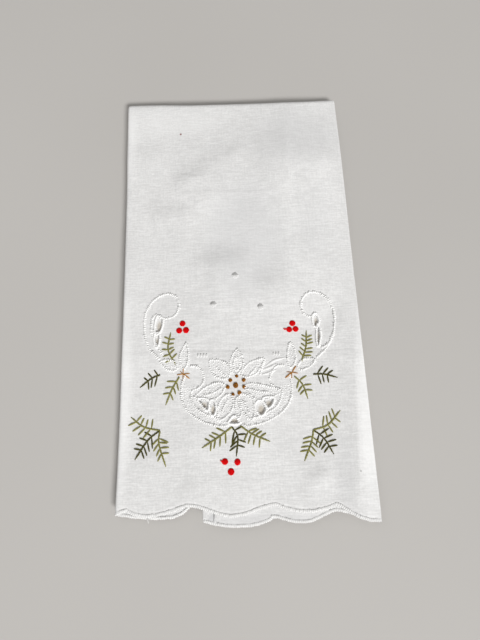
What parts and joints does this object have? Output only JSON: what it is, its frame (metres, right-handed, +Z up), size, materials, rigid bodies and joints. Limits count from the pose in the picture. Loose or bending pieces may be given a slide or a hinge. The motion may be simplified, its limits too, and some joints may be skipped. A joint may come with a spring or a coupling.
{
  "type": "folded cloth napkin",
  "caption": "White guest napkin with a scalloped hem and stitched flowers, its side panels folded behind and the strip folded in half, lying flat.",
  "frame": {"origin": "on the surface the napkin lies on, under the middle of its outer box", "axes": "+Z up out of the layers, +Y from the scalloped hem towards the top fold, +X to the right seen from above"},
  "size_m": [0.1384, 0.2628, 0.0089],
  "materials": {
    "white_cloth": "fine plain-woven white cotton, pressed, with corded white stitching, small cut openings, green, red and gold stitches on the front panel"
  },
  "bodies": {
    "root": {"napkin_cloth": "white_cloth"}
  },
  "joints": []
}
